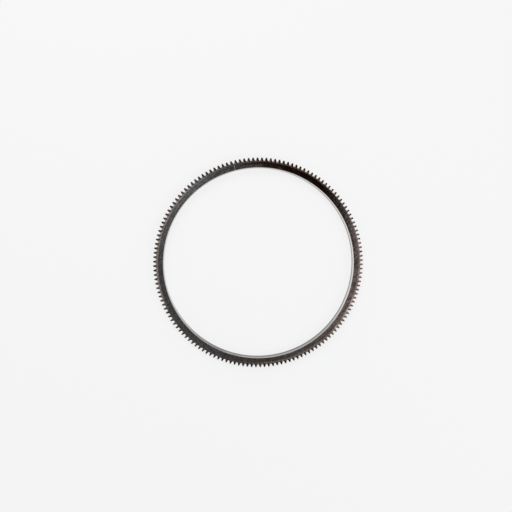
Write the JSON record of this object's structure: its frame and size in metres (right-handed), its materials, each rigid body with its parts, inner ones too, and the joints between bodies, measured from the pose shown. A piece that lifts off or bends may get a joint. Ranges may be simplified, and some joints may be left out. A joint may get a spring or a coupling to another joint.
{
  "type": "flywheel ring gear",
  "caption": "One-piece steel ring with starter teeth round its outside, a front lead-in on every tooth gap and a plain machined bore.",
  "frame": {"origin": "middle of the back face, on the axis of the bore", "axes": "+Z along the ring's axis, from the back face to the front face, where the lead-in is; +X through the middle of a tooth"},
  "size_m": [0.3826, 0.3826, 0.014],
  "materials": {
    "quenched_steel": "dark quenched and tempered steel with brown and straw heat tint round the tooth roots; the bore is turned bright"
  },
  "bodies": {
    "root": {"ring_gear": "quenched_steel"}
  },
  "joints": []
}
